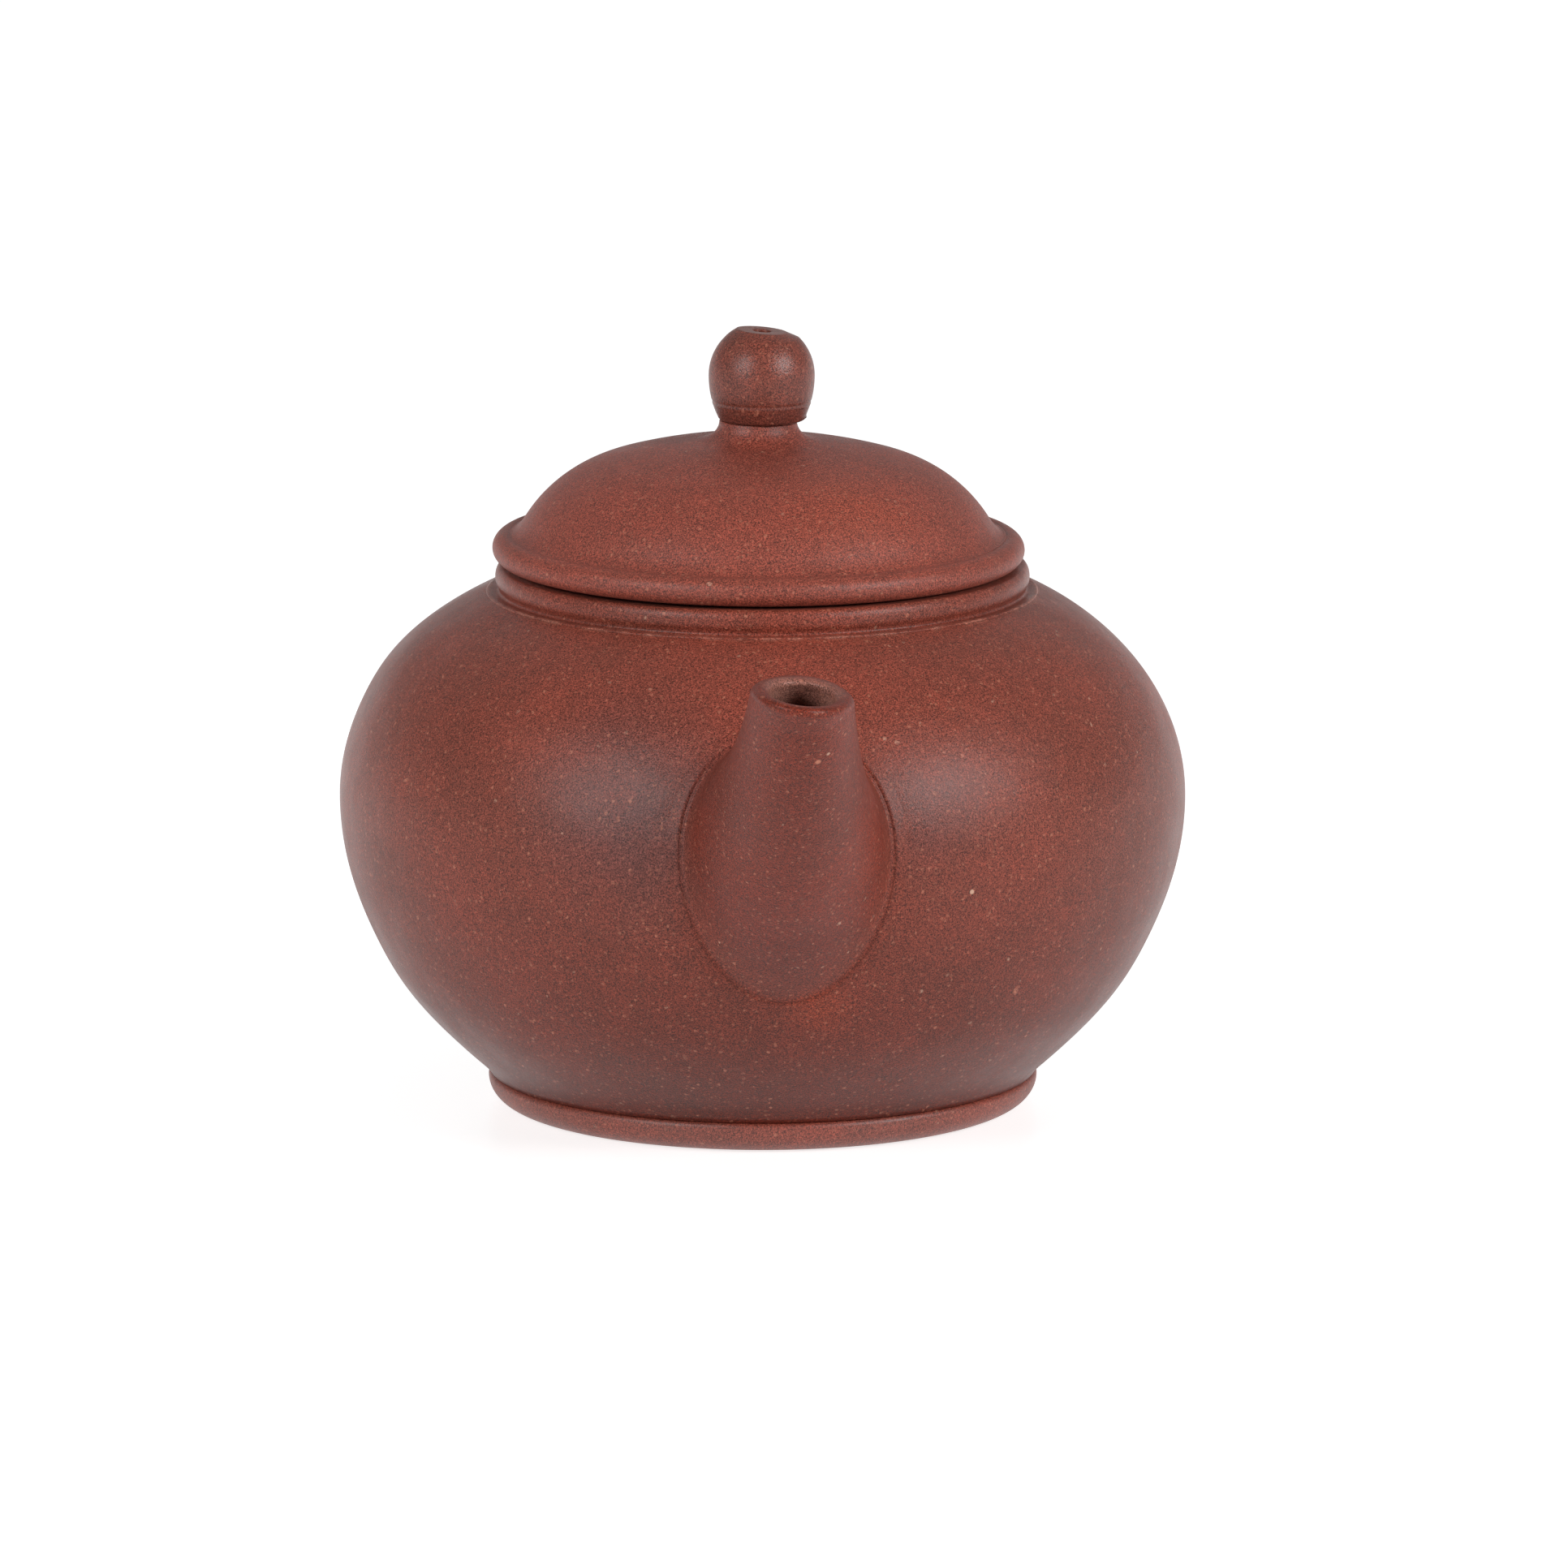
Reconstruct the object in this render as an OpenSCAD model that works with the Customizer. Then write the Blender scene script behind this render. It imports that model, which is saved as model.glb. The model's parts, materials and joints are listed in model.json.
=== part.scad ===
// Small round clay teapot with a ball-knob lid, in millimetres.
// The frame has +Z up and its origin on the pot's axis at table level.
// The spout points along -Y and the handle along +Y.

/* [Body] */
// Radius of the belly at its widest ring
belly_r = 37.5; // [32:0.5:46]
// Height of the widest ring above the table
belly_z = 27.6; // [22:0.1:34]
// Radius of the body where it meets the foot
foot_joint_r = 23.9; // [19:0.1:28]
// Radius of the body where it meets the neck
shoulder_r = 24.3; // [19:0.1:30]
// Height of the shoulder's top above the table
shoulder_z = 45.9; // [38:0.1:56]
// Turn of the ellipse arc from the belly up to the shoulder, in degrees
shoulder_turn = 62; // [45:1:75]
// Turn of the ellipse arc from the belly down to the foot, in degrees
base_turn = 30; // [20:1:50]
// Thickness of the body wall
wall = 2.6; // [2:0.1:3.4]
// Width of the shoulder disc outside the neck
shoulder_disc_w = 3.7; // [2:0.1:5]

/* [Base and foot] */
// Height of the foot ring
foot_h = 2.9; // [2:0.1:5]
// Width of the foot ring from its inner face to the crease
foot_w = 3.9; // [3.2:0.1:6]
// How far the foot's bead stands out past the crease
foot_bead = 0.5; // [0.2:0.1:1]
// Width of the rounding under the foot's bead
foot_round_w = 2.6; // [1:0.1:3]
// Thickness of the base disc
base_t = 2.4; // [2:0.1:3.4]
// Width of the wall's lower rim around the base disc
base_rim_w = 1.2; // [0.8:0.1:2]

/* [Neck] */
// Height of the neck ring
neck_h = 2.3; // [1.8:0.1:5]
// How far the neck's bead stands in from its foot on the shoulder
neck_set_in = 0.65; // [0.4:0.05:2]
// Radius of the neck's rounded bead
neck_bead = 1; // [0.5:0.05:1.2]
// Thickness of the neck from the mouth to its bead
neck_w = 4.15; // [3:0.05:5]

/* [Lid] */
// How far the lid's bead stands out past the neck, or in from it when below zero
lid_overhang = -0.1; // [-0.4:0.05:1]
// Radius of the lid's bead, half the thickness of its rim
lid_bead = 1.25; // [1:0.05:1.6]
// Thickness of the lid's plate inside the bead
lid_plate_t = 2.2; // [1.8:0.1:2.4]
// Gap between the neck and the lid that rests on it
seat_gap = 0.2; // [0.1:0.05:0.4]
// Radius of the round shoulder of the dome
dome_side_r = 12.9; // [9:0.1:16]
// Depth of the dome shoulder's centre below the lid's plate
dome_sink = 5.3; // [3:0.1:8]
// Turn of the dome's shoulder, from level to where the flat top begins, in degrees
dome_turn = 74; // [55:0.1:78]
// Distance of the dome's foot inside the edge of the bead
dome_inset = 0.05; // [0:0.05:1.5]
// Thickness of the dome
dome_wall = 2.4; // [2:0.1:3]
// Depth of the flange below the lid's plate
flange_depth = 6.5; // [4:0.1:9]
// Thickness of the flange
flange_t = 2.2; // [1.6:0.1:3]
// Radial clearance of the flange in the mouth
flange_gap = 0.25; // [0.15:0.05:0.5]

/* [Knob] */
// Radius of the ball knob
knob_r = 4.7; // [3.6:0.1:7]
// Radius of the knob's seat on the dome
knob_seat_r = 3.7; // [3.4:0.05:4]
// Height of the knob's widest ring above its seat
knob_rise = 4; // [3:0.1:6]
// Depth of the flat cut off the top of the ball
knob_cut = 0.5; // [0.2:0.1:1]
// Height of the knob's seat above the top of the dome
boss_h = 1.55; // [0.8:0.05:2]
// Radius of the boss under the knob
boss_r = 3.45; // [2.6:0.05:3.5]
// Width of the hollow curve round the boss
boss_flare = 2; // [1:0.1:3]
// Radius of the vent hole through the knob and the dome
vent_r = 0.8; // [0.5:0.1:1.2]

/* [Spout] */
// How far the spout and the handle reach past the belly
reach = 26; // [20:0.5:34]
// Drop of the middle of the spout's mouth below the top of the neck
mouth_drop = 0.7; // [0:0.1:4]
// Forward tilt of the spout's mouth, in degrees
mouth_tilt = 5; // [0:1:25]
// Radius of the spout at its mouth
tip_r = 4.35; // [3.8:0.05:6]
// Radius of the bore that opens at the mouth
bore_r = 2.65; // [2:0.05:3]
// Length of the straight bore below the middle of the mouth
bore_l = 9; // [6:0.5:9.5]
// Half width of the spout where it starts inside the body
root_w = 12.8; // [11:0.1:16]
// Depth of the top of the spout's root below the shoulder's top
root_top_gap = 7.4; // [4:0.1:12]
// Height of the bottom of the spout's root above the foot
root_low_gap = 6.5; // [4:0.1:12]
// Thickness of the spout's wall at its root
spout_wall = 2.4; // [2:0.1:3]
// Radius of each strainer hole behind the spout
strainer_hole_r = 0.95; // [0.6:0.05:1.2]
// Distance from the middle strainer hole to the ring of the others
strainer_pitch = 3.9; // [3:0.1:5]
// Number of strainer holes in the ring
strainer_ring = 6; // [4:1:8]

/* [Handle] */
// Half width of the handle at its top root
handle_top_w = 4.3; // [3:0.1:5]
// Half width of the handle at its narrow lower end
handle_low_w = 2.9; // [2.4:0.1:4]
// Thickness of the handle as a share of its width
handle_flat = 0.82; // [0.6:0.01:1]

/* [Hidden] */
$fn = 96;
clay = "#7d4437";
clay_dark = "#6d3c32";

arc_steps = 18;      // points along each half of the body's outline
small_steps = 8;     // points along a small round edge
loft_sides = 28;     // points round a section of the spout or the handle
past = 1;            // how far a cut runs past the face it opens
neck_waist = 0.22;   // how far the hollow under the neck's bead stands in from it
collar = 0.3;        // height of the straight collar at the top of the boss
arc_gap = 3;         // turn left out where an arc goes on from another, so no edge is tiny

floor_z = foot_h + base_t;
base_r = foot_joint_r - base_rim_w;
foot_r = foot_joint_r + foot_bead;
foot_bead_z = 0.8 * foot_h;
neck_top = shoulder_z + neck_h;
neck_r = shoulder_r - neck_set_in;
mouth_r = neck_r - neck_w;
disc_r = shoulder_r + shoulder_disc_w;

lid_z = neck_top + seat_gap;
plate_z = lid_z + lid_plate_t;
bead_mid_r = neck_r + lid_overhang - lid_bead;
flange_r = mouth_r - flange_gap;
flange_in_r = flange_r - flange_t;

// The dome stands on the plate just inside the bead, and its top arc is tangent to its side arc.
bead_edge = sqrt(max(0, pow(lid_bead, 2) - pow(lid_plate_t - lid_bead, 2)));
dome_r = bead_mid_r - bead_edge - dome_inset;
dome_side_x = dome_r - sqrt(pow(dome_side_r, 2) - pow(dome_sink, 2));
dome_side_z = plate_z - dome_sink;
dome_top_r = dome_side_r + dome_side_x / cos(dome_turn);
dome_top_z = dome_side_z - (dome_top_r - dome_side_r) * sin(dome_turn);
dome_apex = dome_top_z + dome_top_r;
seat_z = dome_apex + boss_h;
knob_mid_z = seat_z + knob_rise;
knob_seat_turn = acos(knob_seat_r / knob_r);
knob_cut_turn = asin(1 - knob_cut / knob_r);

// The spout follows one curve in the YZ plane: from inside the belly, past its bend, to its mouth.
bend_w = 5.8;        // half width and half height that pull the taper in at the bend
bend_h = 6.15;
tip_h = tip_r + 0.2; // the tip is a little higher than wide
root_in = 15;        // how far inside the belly the spout starts
bend_to_mouth = [-13, 14.9];
spout_rise = atan2(bend_to_mouth[1], -bend_to_mouth[0]);
lip_out = tip_h * cos(mouth_tilt) / sin(spout_rise + mouth_tilt);
mouth_y = belly_r + reach - lip_out;
mouth_z = neck_top - mouth_drop;
spout_end = [-mouth_y, mouth_z];
spout_bend = spout_end - bend_to_mouth;
root_top = shoulder_z - root_top_gap;
root_low = foot_h + root_low_gap;
root_h = (root_top - root_low) / 2;
spout_start = [root_in - belly_r, (root_top + root_low) / 2];
spout_rings = 14;
spout_run = 1.3;     // end of the loft as a share of the curve, past the mouth
channel_rings = 8;
channel_share = 0.8; // share of the curve that the wide part of the channel takes
wall_share = 0.3;    // share of the curve where it passes the body's wall
// The strainer sits low in the channel, where the wall stands nearly upright.
strainer_z = spout_mid(wall_share)[1] - 0.38 * (spout_half_h(wall_share) - spout_wall);

// The handle runs through these points: share of the reach past the belly, share of the neck's height.
handle_out = reach - handle_flat * handle_half_w(0.5);
handle_path = [[-0.38, 0.80], [-0.08, 0.875], [0.38, 0.955], [0.78, 0.925], [1, 0.76],
               [0.90, 0.56], [0.53, 0.385], [0.10, 0.32], [-0.30, 0.345]];
handle_steps = 5;    // rings between two points of the path

function arc(mid, rx, rz, from, to, steps) =
    [for (i = [0 : steps]) let (a = from + (to - from) * i / steps) mid + [rx * cos(a), rz * sin(a)]];

// A point of the body's outline: an ellipse arc up to the shoulder, or down to the foot.
function shoulder_point(a) =
    [belly_r - (belly_r - shoulder_r) * (1 - cos(a)) / (1 - cos(shoulder_turn)),
     belly_z + (shoulder_z - belly_z) * sin(a) / sin(shoulder_turn)];
function base_point(a) =
    [belly_r - (belly_r - foot_joint_r) * (1 - cos(a)) / (1 - cos(base_turn)),
     belly_z - (belly_z - foot_h) * sin(a) / sin(base_turn)];
body_outline = concat(
    [for (i = [0 : arc_steps]) base_point(base_turn * (1 - i / arc_steps))],
    [for (i = [1 : arc_steps]) shoulder_point(shoulder_turn * i / arc_steps)]);

// The same outline moved in along its normals.
function inset(path, depth) =
    [for (i = [0 : len(path) - 1])
        let (along = path[min(i + 1, len(path) - 1)] - path[max(i - 1, 0)])
        path[i] + depth * [-along[1], along[0]] / norm(along)];

// An outline closed to the axis at the heights where it starts and ends.
function to_axis(path) = concat([[0, path[0][1]]], path, [[0, path[len(path) - 1][1]]]);

function bezier(a, b, c, t) = (1 - t) * (1 - t) * a + 2 * t * (1 - t) * b + t * t * c;
function spout_mid(t) = t <= 1
    ? bezier(spout_start, spout_bend, spout_end, t)
    : spout_end + 2 * (t - 1) * (spout_end - spout_bend);
function spout_along(t) =
    let (s = min(t, 1), d = (1 - s) * (spout_bend - spout_start) + s * (spout_end - spout_bend))
    d / norm(d);
function spout_half_w(t) = bezier(root_w, bend_w, tip_r, min(t, 1));
function spout_half_h(t) = bezier(root_h, bend_h, tip_h, min(t, 1));

// A ring of points round a section that stands across the direction "along" in the YZ plane.
function section(mid, along, half_w, half_h) =
    [for (i = [0 : loft_sides - 1]) let (a = 360 * i / loft_sides, rise = half_h * sin(a))
        [half_w * cos(a), mid[0] - rise * along[1], mid[1] + rise * along[0]]];

// A smooth curve through four points, between the middle two.
function spline(a, b, c, d, t) =
    0.5 * (2 * b + (c - a) * t + (2 * a - 5 * b + 4 * c - d) * t * t + (3 * b - a - 3 * c + d) * t * t * t);
function handle_point(i) = let (p = handle_path[max(0, min(i, len(handle_path) - 1))])
    [belly_r + handle_out * p[0], neck_top * p[1]];
function handle_mid(s) = let (i = min(floor(s), len(handle_path) - 2))
    spline(handle_point(i - 1), handle_point(i), handle_point(i + 1), handle_point(i + 2), s - i);
function handle_along(s) = let (d = handle_mid(s + 0.02) - handle_mid(s - 0.02)) d / norm(d);
function handle_half_w(share) = handle_low_w + (handle_top_w - handle_low_w) * pow(1 - share, 1.4)
    + 0.9 * pow(share, 8);

// A closed skin over rings of the same number of points.
module loft(rings) {
    n = len(rings[0]);
    last = len(rings) - 1;
    points = [for (ring = rings) for (p = ring) p];
    sides = [for (k = [0 : last - 1]) for (i = [0 : n - 1]) let (j = (i + 1) % n)
        each [[k * n + i, k * n + j, k * n + n + j], [k * n + i, k * n + n + j, k * n + n + i]]];
    ends = [[for (i = [n - 1 : -1 : 0]) i], [for (i = [0 : n - 1]) last * n + i]];
    polyhedron(points, concat(sides, ends));
}

module ring_tube(outer, inner, from, to) {
    translate([0, 0, from])
        difference() {
            cylinder(h = to - from, r = outer);
            translate([0, 0, -past])
                cylinder(h = to - from + 2 * past, r = inner);
        }
}

// Half section of the body: the outline less the hollow for the tea.
module body_section() {
    difference() {
        polygon(to_axis(body_outline));
        intersection() {
            polygon(to_axis(inset(body_outline, wall)));
            translate([0, floor_z])
                square([belly_r, shoulder_z]);
        }
    }
}

// The whole outer form of the body, which the spout and the handle are fitted against.
module body_form() {
    rotate_extrude()
        polygon(to_axis(body_outline));
}

module body_wall() {
    color(clay)
        difference() {
            rotate_extrude()
                difference() {
                    body_section();
                    translate([0, foot_h])
                        square([base_r, base_t]);
                    translate([0, belly_z])
                        square([disc_r, shoulder_z]);
                }
            strainer_hole(0, 0);
            for (i = [0 : strainer_ring - 1])
                strainer_hole(strainer_pitch, 90 + 360 * i / strainer_ring);
        }
}

module strainer_hole(pitch, angle) {
    translate([pitch * cos(angle), 0, strainer_z + pitch * sin(angle)])
        rotate([90, 0, 0])
            cylinder(h = belly_r + past, r = strainer_hole_r);
}

module base_disc() {
    color(clay_dark)
        translate([0, 0, foot_h])
            cylinder(h = base_t, r = base_r);
}

module foot_ring() {
    color(clay_dark)
        rotate_extrude()
            polygon(concat(
                [[foot_joint_r - foot_w, foot_h], [foot_joint_r - foot_w, 0]],
                arc([foot_r - foot_round_w, foot_bead_z], foot_round_w, foot_bead_z, -90, 0, small_steps),
                arc([foot_joint_r, foot_bead_z], foot_bead, foot_h - foot_bead_z, 0, 90, small_steps)));
}

module shoulder_disc() {
    color(clay)
        rotate_extrude()
            intersection() {
                body_section();
                translate([mouth_r, belly_z])
                    square([disc_r - mouth_r, shoulder_z]);
            }
}

// A short collar: a round bead on top and a hollow curve down to the shoulder.
module neck_ring() {
    bead_mid = [neck_r - neck_bead, neck_top - neck_bead];
    hollow_h = neck_h - 1.7 * neck_bead;
    hollow_w = shoulder_r - neck_r + neck_waist;
    color(clay)
        rotate_extrude()
            polygon(concat(
                [[mouth_r, neck_top], [mouth_r, shoulder_z]],
                arc([shoulder_r, shoulder_z + hollow_h], hollow_w, hollow_h, 270, 190, small_steps),
                arc(bead_mid, neck_bead, neck_bead, -40, 90, small_steps)));
}

module spout_skin() {
    loft([for (k = [0 : spout_rings]) let (t = spout_run * k / spout_rings)
        section(spout_mid(t), spout_along(t), spout_half_w(t), spout_half_h(t))]);
}

// The channel narrows from the root to the straight bore at the mouth.
module spout_channel() {
    least = bore_r + 0.05;
    loft([for (k = [0 : channel_rings]) let (t = channel_share * k / channel_rings)
        section(spout_mid(t), spout_along(t),
            max(spout_half_w(t) - spout_wall, least), max(spout_half_h(t) - spout_wall, least))]);
    translate([0, -mouth_y, mouth_z])
        rotate([90 - spout_rise, 0, 0])
            translate([0, 0, -bore_l])
                cylinder(h = bore_l + 2 * tip_r, r = bore_r);
}

// Everything above the plane of the spout's mouth.
module above_mouth() {
    translate([0, -mouth_y, mouth_z])
        rotate([mouth_tilt, 0, 0])
            translate([-3 * tip_r, -4 * tip_r, 0])
                cube([6 * tip_r, 8 * tip_r, 8 * tip_r]);
}

module spout() {
    color(clay_dark)
        difference() {
            spout_skin();
            body_form();
            spout_channel();
            above_mouth();
        }
}

module handle() {
    spans = len(handle_path) - 1;
    color(clay)
        difference() {
            loft([for (k = [0 : spans * handle_steps])
                let (s = k / handle_steps, half = handle_half_w(s / spans))
                section(handle_mid(s), handle_along(s), half, half * handle_flat)]);
            body_form();
        }
}

module lid_dome() {
    side_mid = [dome_side_x, dome_side_z];
    top_mid = [0, dome_top_z];
    flare_r = boss_r + boss_flare;
    flare_z = dome_top_z + sqrt(pow(dome_top_r, 2) - pow(flare_r, 2));
    side_in_r = dome_side_r - dome_wall;
    top_in_r = dome_top_r - dome_wall;
    side_turn = asin(dome_sink / dome_side_r);
    side_in_turn = asin(dome_sink / side_in_r);
    flare_turn = acos(flare_r / dome_top_r);
    collar_z = seat_z - collar;
    color(clay)
        difference() {
            rotate_extrude()
                difference() {
                    polygon(to_axis(concat(
                        arc(side_mid, dome_side_r, dome_side_r, side_turn, dome_turn, arc_steps),
                        arc(top_mid, dome_top_r, dome_top_r, dome_turn + arc_gap, flare_turn, small_steps),
                        arc([flare_r, collar_z], boss_flare, collar_z - flare_z, 270 - arc_gap, 180,
                            small_steps),
                        [[boss_r, seat_z]])));
                    polygon(to_axis(concat(
                        arc(side_mid, side_in_r, side_in_r, side_in_turn, dome_turn, arc_steps),
                        arc(top_mid, top_in_r, top_in_r, dome_turn + arc_gap, 90, small_steps))));
                }
            translate([0, 0, plate_z])
                cylinder(h = seat_z, r = vent_r);
        }
}

module lid_rim() {
    color(clay)
        rotate_extrude()
            union() {
                translate([flange_in_r, lid_z])
                    square([bead_mid_r - flange_in_r, lid_plate_t]);
                translate([bead_mid_r, lid_z + lid_bead])
                    circle(r = lid_bead);
            }
}

module lid_flange() {
    color(clay_dark)
        ring_tube(flange_r, flange_in_r, lid_z - flange_depth, lid_z);
}

module knob() {
    mid = [0, knob_mid_z];
    color(clay)
        difference() {
            rotate_extrude()
                polygon(to_axis(concat(
                    arc(mid, knob_r, knob_rise / sin(knob_seat_turn), -knob_seat_turn, 0, small_steps),
                    arc(mid, knob_r, knob_r, 8, knob_cut_turn, small_steps))));
            translate([0, 0, seat_z - past])
                cylinder(h = 3 * knob_r, r = vent_r);
        }
}

body_wall();
base_disc();
foot_ring();
shoulder_disc();
neck_ring();
spout();
handle();
lid_dome();
lid_rim();
lid_flange();
knob();
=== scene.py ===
import json
import math
import bmesh
import bpy
import numpy as np
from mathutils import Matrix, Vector, noise


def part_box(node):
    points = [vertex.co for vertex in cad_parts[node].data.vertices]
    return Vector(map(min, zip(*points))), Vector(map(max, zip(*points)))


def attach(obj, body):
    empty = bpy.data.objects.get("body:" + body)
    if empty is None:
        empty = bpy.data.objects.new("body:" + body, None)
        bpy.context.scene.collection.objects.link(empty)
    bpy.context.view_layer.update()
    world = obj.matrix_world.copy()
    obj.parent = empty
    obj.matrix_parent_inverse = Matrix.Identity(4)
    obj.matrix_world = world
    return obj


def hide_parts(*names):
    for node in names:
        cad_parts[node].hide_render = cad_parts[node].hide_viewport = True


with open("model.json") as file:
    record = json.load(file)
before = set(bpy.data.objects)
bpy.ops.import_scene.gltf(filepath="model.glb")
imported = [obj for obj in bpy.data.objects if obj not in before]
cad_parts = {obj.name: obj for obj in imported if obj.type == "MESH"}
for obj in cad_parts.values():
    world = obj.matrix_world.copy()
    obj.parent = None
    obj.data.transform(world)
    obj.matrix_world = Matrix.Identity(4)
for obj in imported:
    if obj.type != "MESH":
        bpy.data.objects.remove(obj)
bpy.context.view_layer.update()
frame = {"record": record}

# ---------------------------------------------------------------------------
# Sizes. Shapes are worked out in millimetres and become metres in build_mesh().
# What the frame knows is read from it; the rest is named here.
# ---------------------------------------------------------------------------
MM = 0.001


def low(node, axis):
    """The lowest coordinate of a CAD node along one axis, in millimetres."""
    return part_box(node)[0][axis] / MM


def high(node, axis):
    """The highest coordinate of a CAD node along one axis, in millimetres."""
    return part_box(node)[1][axis] / MM


X, Y, Z = 0, 1, 2

BELLY_R = high("body_wall", X)
BELLY_Z = 27.6
SHOULDER_R = high("neck_ring", X)
SHOULDER_Z = low("neck_ring", Z)
SHOULDER_TURN = 62     # degrees of the upper ellipse arc, from the belly to the neck, and of the lower one
BASE_TURN = 30
WALL = 2.6

FOOT_H = high("foot_ring", Z)
FOOT_R = high("foot_ring", X)
FOOT_BEAD = 0.5        # how far the foot's bead stands out past the wall
FOOT_JOINT_R = FOOT_R - FOOT_BEAD
FOOT_W = 3.9
FOOT_ROUND_W = 2.6     # the width of the foot's rounded outer part
BASE_R = high("base_disc", X)
FLOOR_Z = high("base_disc", Z)

NECK_TOP = high("neck_ring", Z)
NECK_R = SHOULDER_R - 0.65
NECK_BEAD = 1.0        # the half height of the neck's bead, and how far it stands out
NECK_FACE = 0.6
FLANGE_R = high("lid_flange", X)
FLANGE_IN_R = FLANGE_R - 2.2
FLANGE_LOW = low("lid_flange", Z)
MOUTH_R = FLANGE_R + 0.25

LID_Z = low("lid_rim", Z)
LID_R = high("lid_rim", X)
LID_BEAD = (high("lid_rim", Z) - LID_Z) / 2
PLATE_Z = low("lid_dome", Z)
DOME_R = high("lid_dome", X)
DOME_SIDE_R = 12.9     # the dome's tight side arc: its radius and how far its middle is below the plate's top
DOME_SINK = 5.3
DOME_TURN = 74         # the angle at which the side arc gives way to the wide top arc
DOME_WALL = 2.4
BOSS_R = 3.45
BOSS_FLARE = 2.0
VENT_R = 0.8

SEAT_Z = low("knob", Z)
KNOB_R = high("knob", X)
KNOB_TOP = high("knob", Z)
KNOB_SEAT_R = 3.7
KNOB_MID_Z = SEAT_Z + 4

bore = next(m for m in frame["record"]["mounts"] if m["name"] == "spout_bore")
MOUTH = np.array(bore["pos_m"]) / MM
BORE_AXIS = np.array(bore["axis"])
BORE_R = bore["dims"]["r_mm"]
MOUTH_TILT = 5         # degrees that the mouth is cut forward
TIP_R = 4.35           # half the spout's width and height at its mouth
TIP_H = 4.55
SPOUT_WALL = 2.4

STRAINER_Z = 26.77     # the height of the strainer's middle hole
STRAINER_PITCH = 3.9   # from the middle hole to each of the holes round it
STRAINER_HOLE_R = 0.95
HOLE_SIDES = 24

COLUMNS = 320          # points round a turned piece
HAND_DEPTH = 0.06      # how far the hand-beaten clay stands in from the true form
HAND_SIZE = 15.0       # the width of a hand-made unevenness
FULLNESS = 0.34        # how far the body stands out where its maker left it fuller than the true form
LOW_FULL_Z = 10.5      # the middle and the spread, along Z, of the full place all round the foot
LOW_FULL_SPREAD = 4.5
WEST_FULL_Z = 40.5     # the same for the full place on the shoulder's -X side
WEST_FULL_SPREAD = 4.0


# ---------------------------------------------------------------------------
# Outlines in (radius, height)
# ---------------------------------------------------------------------------
def arc(mid, rx, rz, start, end, steps):
    """Points along an ellipse's arc between two angles in degrees."""
    a = np.radians(np.linspace(start, end, steps + 1))
    return np.c_[mid[0] + rx * np.cos(a), mid[1] + rz * np.sin(a)]


def line(start, end, steps):
    """Points along a straight line, with both its ends."""
    t = np.linspace(0, 1, steps + 1)[:, None]
    return np.array(start) * (1 - t) + np.array(end) * t


def even(path, step):
    """The same path with points about one step apart, its ends kept."""
    path = np.asarray(path, float)
    gaps = np.linalg.norm(np.diff(path, axis=0), axis=1)
    path = path[np.r_[True, gaps > 1e-6]]
    along = np.r_[0, np.cumsum(np.linalg.norm(np.diff(path, axis=0), axis=1))]
    t = np.linspace(0, along[-1], max(2, int(round(along[-1] / step)) + 1))
    return np.c_[np.interp(t, along, path[:, 0]), np.interp(t, along, path[:, 1])]


def body_radius(z):
    """Outer radius of the body at a height: two ellipse arcs that meet at the belly."""
    z = np.asarray(z, float)
    up = z >= BELLY_Z
    turn = np.radians(np.where(up, SHOULDER_TURN, BASE_TURN))
    end_r = np.where(up, SHOULDER_R, FOOT_JOINT_R)
    end_z = np.where(up, SHOULDER_Z, FOOT_H)
    # Each arc is followed a little past its end, but not to where it turns level.
    share = np.clip((z - BELLY_Z) / (end_z - BELLY_Z), 0, 1.08) * np.sin(turn)
    share = np.clip(share, 0, 0.999)
    return BELLY_R - (BELLY_R - end_r) * (1 - np.sqrt(1 - share ** 2)) / (1 - np.cos(turn))


def body_outline(steps):
    """Points up the outside of the body, from the foot to the neck."""
    low_turn = np.radians(np.linspace(BASE_TURN, 0, steps + 1))
    top_turn = np.radians(np.linspace(0, SHOULDER_TURN, steps + 1)[1:])
    low_share = np.sin(low_turn) / math.sin(math.radians(BASE_TURN))
    top_share = np.sin(top_turn) / math.sin(math.radians(SHOULDER_TURN))
    z = np.r_[BELLY_Z - (BELLY_Z - FOOT_H) * low_share, BELLY_Z + (SHOULDER_Z - BELLY_Z) * top_share]
    return np.c_[body_radius(z), z]


def inset(path, depth):
    """A path moved by a depth to the left of its direction."""
    along = np.gradient(path, axis=0)
    along /= np.linalg.norm(along, axis=1)[:, None]
    return path + depth * np.c_[-along[:, 1], along[:, 0]]


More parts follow.
